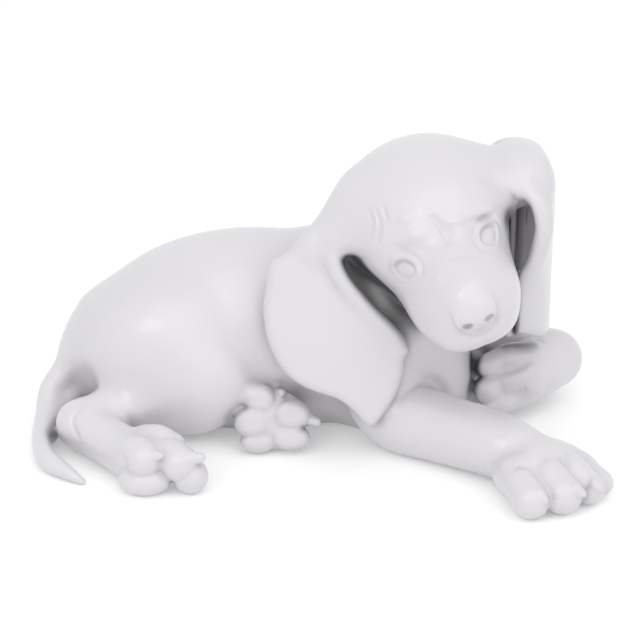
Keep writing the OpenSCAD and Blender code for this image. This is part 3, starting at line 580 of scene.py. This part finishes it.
def skin(field, lo, hi, size, block=4):
    """Points and quads of the surface where the field is zero: a point in every grid cell that
    it crosses, at the mean of the crossings on the cell's edges, and a quad round every grid
    edge that it crosses. Blocks of cells that lie clear of the surface are passed over."""
    lo, hi = np.asarray(lo, float), np.asarray(hi, float)
    count = np.ceil((hi - lo) / (size * block)).astype(int)
    blocks = lattice(*count)
    centre = (lo + (blocks + 0.5) * size * block).astype(F)
    batches = np.array_split(centre, len(centre) // 60000 + 1)
    blocks = blocks[np.concatenate([np.abs(field(c)) < size * block * 1.3 for c in batches])]
    blocks = blocks[np.lexsort((blocks // 6).T)]
    m = block + 1
    knots, cells, corner = lattice(m, m, m), lattice(block, block, block), lattice(2, 2, 2)
    knot_of = (cells[:, None, :] + corner[None]) @ np.array([m * m, m, 1])
    found, values = [], []
    for some in np.array_split(blocks, len(blocks) // 1500 + 1):
        at = lo + (some[:, None, :] * block + knots[None]) * size
        value = field(at.reshape(-1, 3).astype(F)).reshape(len(some), -1)[:, knot_of]
        b, c = np.nonzero((value.min(2) < 0) & (value.max(2) >= 0))
        found.append(some[b] * block + cells[c])
        values.append(value[b, c])
    crossed_cell, value = np.vstack(found), np.vstack(values)
    total, crossings = np.zeros((len(value), 3)), np.zeros(len(value))
    for a in range(8):
        for b in range(a + 1, 8):
            if np.abs(corner[a] - corner[b]).sum() == 1:
                va, vb = value[:, a], value[:, b]
                crossed = (va < 0) != (vb < 0)
                t = np.where(crossed, va / np.where(crossed, va - vb, 1), 0)[:, None]
                total += np.where(crossed[:, None], corner[a] + t * (corner[b] - corner[a]), 0)
                crossings += crossed
    points = lo + (crossed_cell + total / crossings[:, None]) * size
    reach = count * block + 2
    stride = np.array([reach[1] * reach[2], reach[2], 1])
    key = crossed_cell @ stride
    order = np.argsort(key)
    quads = []
    for axis in range(3):
        u, w = stride[(axis + 1) % 3], stride[(axis + 2) % 3]
        inside = value[:, 0] < 0
        edge = np.nonzero(inside != (value[:, 4 >> axis] < 0))[0]
        ring = key[edge][:, None] - np.array([0, u, u + w, w])
        place = np.minimum(np.searchsorted(key[order], ring), len(key) - 1)
        whole = (key[order][place] == ring).all(1)
        quad = order[place]
        quad[~inside[edge]] = quad[~inside[edge]][:, ::-1]
        quads.append(quad[whole])
    return points, np.vstack(quads)


def slope(field, p, step=0.04):
    """Direction and steepness of the field, from differences of its values to either side."""
    sides = np.eye(3, dtype=F) * F(step)
    return np.stack([(field(p + e) - field(p - e)) / F(2 * step) for e in sides], 1)


def on_skin(field, p):
    """Points moved along the slope by the field's value over the slope squared, 0.5 at most."""
    g = slope(field, p)
    return p - np.clip(field(p) / np.maximum((g * g).sum(1), 0.05), -0.5, 0.5)[:, None] * g


def round_mean(values, quads):
    """Mean of the values at the points that an edge joins to each point."""
    ends = np.stack([quads, np.roll(quads, -1, 1)], -1).reshape(-1, 2)
    a, b = np.concatenate([ends[:, 0], ends[:, 1]]), np.concatenate([ends[:, 1], ends[:, 0]])
    shared = np.bincount(a, minlength=len(values))
    return np.stack([np.bincount(a, v[b], len(values)) / shared for v in values.T], 1)


def evened(points, quads):
    """Points drawn to the mean of their neighbours and pushed back almost as far, in turn: it
    takes out ripples of the grid's size and keeps the volume."""
    for pull in (0.5, -0.52) * even_rounds:
        points = points + pull * (round_mean(points, quads) - points)
    return points


def facing(points, quads):
    """Outward unit normals at the points: the sum of the crossed diagonals of the quads around."""
    a, b, c, d = points[quads].transpose(1, 0, 2)
    crossed = np.cross(c - a, d - b)
    total = np.zeros_like(points)
    for k in range(3):
        total[:, k] = np.bincount(quads.ravel(), np.repeat(crossed[:, k], 4), len(points))
    return total / np.linalg.norm(total, axis=1, keepdims=True)


def closed_over(points, normals, reaches):
    """How far other forms close in over each point, 0 to 1: the mean over the reaches of one less
    the clear distance, in reaches, at a reach out along the normal."""
    out = [(points + normals * r).astype(F) for r in reaches]
    gaps = [(puppy(p) - relief(p)) / F(r) for p, r in zip(out, reaches)]
    return np.mean([np.clip(1 - gap, 0, 1) for gap in gaps], axis=0)


def capped(points, quads):
    """Points, and the triangles that close every open rim of the quads to a point at its middle."""
    sides = np.stack([quads, np.roll(quads, -1, 1)], -1).reshape(-1, 2)
    n = len(points)
    there, back = sides[:, 0] * n + sides[:, 1], sides[:, 1] * n + sides[:, 0]
    rim = sides[~np.isin(there, back)]
    follows = dict(zip(rim[:, 0].tolist(), rim[:, 1].tolist()))
    caps, tips = [], []
    while follows:
        first, after = follows.popitem()
        loop = [first]
        while after != first and after in follows:
            loop.append(after)
            after = follows.pop(after)
        if len(loop) < 3:
            continue
        loop = np.array(loop)
        tips.append(points[loop].mean(0))
        tip = np.full(len(loop), n + len(tips) - 1)
        caps.append(np.stack([np.roll(loop, -1), loop, tip], 1))
    return np.vstack([points] + [np.array(tips)] * bool(tips)), caps


points, quads = skin(puppy, skin_low, skin_high, cell)
points = evened(on_skin(puppy, points.astype(F)).astype(float), quads)
points += facing(points, quads) * relief(points.astype(F))[:, None]
points[:, 2] = np.maximum(points[:, 2], 0)
normals = facing(points, quads)

# Painted shade: the amount that darkens the glaze colour comes from how far other forms close in over
# each point. It is weighted by place round the head, ears and far paw and smoothed over neighbours.
deep = closed_over(points, normals, wide_reaches)
along, back, high = points.T
by_far_paw = rise(along, 62, 68) * (1 - rise(high, 34, 46))
by_far_ear = rise(along, 66, 72) * rise(high, 46, 60)
by_near_ear = (1 - rise(along, 34, 44)) * rise(back, -20, -10)
by_head = rise(along + high, 62, 84) * (1 - 0.7 * by_far_paw) * (1 - 0.95 * by_far_ear)
at_head = by_head * rise(deep + 0.16 * by_near_ear, 0.4, 0.78)
elsewhere = (1 - by_head) * 0.5 * rise(deep, 0.4, 1)
painted_shade_amount = at_head + elsewhere + 0.25 * closed_over(points, normals, fine_reaches)
for _ in range(shade_rounds):
    painted_shade_amount = round_mean(painted_shade_amount[:, None], quads)[:, 0]
painted_shade_amount = np.clip(painted_shade_amount, 0, 1).astype(F)
centres = points[quads].mean(1)
nearest = np.argmin([form(centres.astype(F)) for form, _ in castings.values()], axis=0)

glaze = bpy.data.materials.new("glazed_porcelain")
glaze.use_nodes = True
nodes, links = glaze.node_tree.nodes, glaze.node_tree.links
shader = nodes["Principled BSDF"]
shader.inputs["IOR"].default_value = 1.5
shader.inputs["Coat Weight"].default_value = 0.4
shader.inputs["Coat Roughness"].default_value = 0.13
place = nodes.new("ShaderNodeTexCoord")
cloud = nodes.new("ShaderNodeTexNoise")
cloud.inputs["Scale"].default_value = 38
cloud.inputs["Detail"].default_value = 4
links.new(place.outputs["Object"], cloud.inputs["Vector"])
tone = nodes.new("ShaderNodeMix")
tone.data_type = "RGBA"
tone.inputs["A"].default_value = dull_glaze
tone.inputs["B"].default_value = bright_glaze
links.new(cloud.outputs["Fac"], tone.inputs["Factor"])
# Painted shade: the glaze colour is mixed towards the near-black shade colour by the amount stored on
# the points.
hollow = nodes.new("ShaderNodeAttribute")
hollow.attribute_name = "painted_shade_amount"
painted_shade_mix = nodes.new("ShaderNodeMix")
painted_shade_mix.data_type = "RGBA"
painted_shade_mix.inputs["B"].default_value = painted_shade_colour
links.new(tone.outputs["Result"], painted_shade_mix.inputs["A"])
links.new(hollow.outputs["Fac"], painted_shade_mix.inputs["Factor"])
links.new(painted_shade_mix.outputs["Result"], shader.inputs["Base Color"])
grain = nodes.new("ShaderNodeTexNoise")
grain.inputs["Scale"].default_value = 260
links.new(place.outputs["Object"], grain.inputs["Vector"])
gloss = nodes.new("ShaderNodeMapRange")
gloss.inputs["To Min"].default_value = gloss_low
gloss.inputs["To Max"].default_value = gloss_high
links.new(grain.outputs["Fac"], gloss.inputs["Value"])
links.new(gloss.outputs["Result"], shader.inputs["Roughness"])

for number, (name, (form, replaced)) in enumerate(castings.items()):
    used, own = np.unique(quads[nearest == number], return_inverse=True)
    own = own.reshape(-1, 4)
    corners, caps = capped(points[used], own)
    faces = own.tolist() + [t for cap in caps for t in cap.tolist()]
    mesh = bpy.data.meshes.new(name)
    mesh.from_pydata(((corners + middle) / 1000).tolist(), [], faces)
    mesh.validate()
    tips = len(corners) - len(used)
    # The painted shade amount is stored on each piece's points for the material to read.
    shade = np.concatenate([painted_shade_amount[used], np.zeros(tips, F)])
    mesh.attributes.new("painted_shade_amount", "FLOAT", "POINT").data.foreach_set("value", shade)
    mesh.shade_smooth()
    outward = np.vstack([normals[used], np.tile((0, 0, 1), (tips, 1))])
    mesh.normals_split_custom_set_from_vertices(outward.tolist())
    mesh.materials.append(glaze)
    piece = bpy.data.objects.new("glazed_" + name, mesh)
    bpy.context.scene.collection.objects.link(piece)
    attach(piece, "root")
    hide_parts(*replaced)

# Floor: a plain pale sheet of card that the figurine rests on and that takes its soft shadow.
# What the camera or a shiny surface sees of it is lifted to the white of the backdrop.
floor_half, floor_drop, floor_lift = 3.0, 0.0001, 0.25
floor_mesh = bpy.data.meshes.new("floor")
floor_corners = [(x * floor_half, y * floor_half, 0) for x, y in ((-1, -1), (1, -1), (1, 1), (-1, 1))]
floor_mesh.from_pydata(floor_corners, [], [(0, 1, 2, 3)])
floor = bpy.data.objects.new("floor", floor_mesh)
floor.location.z = -floor_drop
bpy.context.scene.collection.objects.link(floor)


def seen_or_mirrored(tree):
    """1 for rays from the camera, a glossy surface or clear glass, 0 for the light that falls."""
    ray = tree.nodes.new("ShaderNodeLightPath")
    found = ray.outputs["Is Camera Ray"]
    for kind in ("Is Glossy Ray", "Is Transmission Ray"):
        either = tree.nodes.new("ShaderNodeMath")
        either.operation = "MAXIMUM"
        tree.links.new(found, either.inputs[0])
        tree.links.new(ray.outputs[kind], either.inputs[1])
        found = either.outputs["Value"]
    return found


card = bpy.data.materials.new("pale_card")
card.use_nodes = True
nodes, links = card.node_tree.nodes, card.node_tree.links
card_shader = nodes["Principled BSDF"]
card_shader.inputs["Roughness"].default_value = 0.9
card_shader.inputs["Emission Color"].default_value = (1, 1, 1, 1)
fibre = nodes.new("ShaderNodeTexNoise")
fibre.inputs["Scale"].default_value = 900
card_tone = nodes.new("ShaderNodeMapRange")
card_tone.inputs["To Min"].default_value = 0.9
card_tone.inputs["To Max"].default_value = 0.92
links.new(fibre.outputs["Fac"], card_tone.inputs["Value"])
links.new(card_tone.outputs["Result"], card_shader.inputs["Base Color"])
lift = nodes.new("ShaderNodeMapRange")
lift.inputs["To Max"].default_value = floor_lift
links.new(seen_or_mirrored(card.node_tree), lift.inputs["Value"])
links.new(lift.outputs["Result"], card_shader.inputs["Emission Strength"])
floor_mesh.materials.append(card)

# Light: a bright tent all round with a white backdrop, a broad soft light above and in front,
# and a small one at the left that puts a soft gleam on the glaze.
tent_strength = 0.74
light_aim = Vector((0, 0, 0.04))
world = bpy.data.worlds.new("light_tent")
bpy.context.scene.world = world
world.use_nodes = True
nodes, links = world.node_tree.nodes, world.node_tree.links
tent = nodes["Background"]
tent.inputs["Color"].default_value = (1, 1, 1, 1)
tent.inputs["Strength"].default_value = tent_strength
backdrop = nodes.new("ShaderNodeBackground")
backdrop.inputs["Color"].default_value = (1, 1, 1, 1)
tent_or_backdrop = nodes.new("ShaderNodeMixShader")
links.new(seen_or_mirrored(world.node_tree), tent_or_backdrop.inputs["Fac"])
links.new(tent.outputs["Background"], tent_or_backdrop.inputs[1])
links.new(backdrop.outputs["Background"], tent_or_backdrop.inputs[2])
links.new(tent_or_backdrop.outputs["Shader"], nodes["World Output"].inputs["Surface"])


def soft_light(name, at, size, watts):
    """A square area light of a size at a place, turned to the figurine."""
    lamp = bpy.data.lights.new(name, "AREA")
    lamp.size = size
    lamp.energy = watts
    holder = bpy.data.objects.new(name, lamp)
    holder.location = at
    holder.rotation_euler = (light_aim - Vector(at)).to_track_quat("-Z", "Y").to_euler()
    bpy.context.scene.collection.objects.link(holder)


soft_light("light_above", (0.25, -0.7, 1.0), 1.4, 4.2)
soft_light("light_window", (-0.5, -0.8, 0.8), 0.4, 1.2)

# Camera: 24 degrees above the floor and 900 mm from the figurine, with a picture that is
# 232.7 mm wide at that distance.
elevation, distance, picture_width, sensor = np.radians(24), 0.9, 0.64 / 2.75, 36.0
target = np.array((0.0005, 0.0103, 0.044))
camera_data = bpy.data.cameras.new("camera")
camera_data.sensor_width = sensor
camera_data.lens = sensor * distance / picture_width
camera_data.clip_start = 0.05
camera = bpy.data.objects.new("camera", camera_data)
camera.location = target + distance * np.array((0, -np.cos(elevation), np.sin(elevation)))
camera.rotation_euler = (np.pi / 2 - elevation, 0, 0)
bpy.context.scene.collection.objects.link(camera)
bpy.context.scene.camera = camera
bpy.context.scene.view_settings.view_transform = "Standard"

bpy.context.view_layer.update()
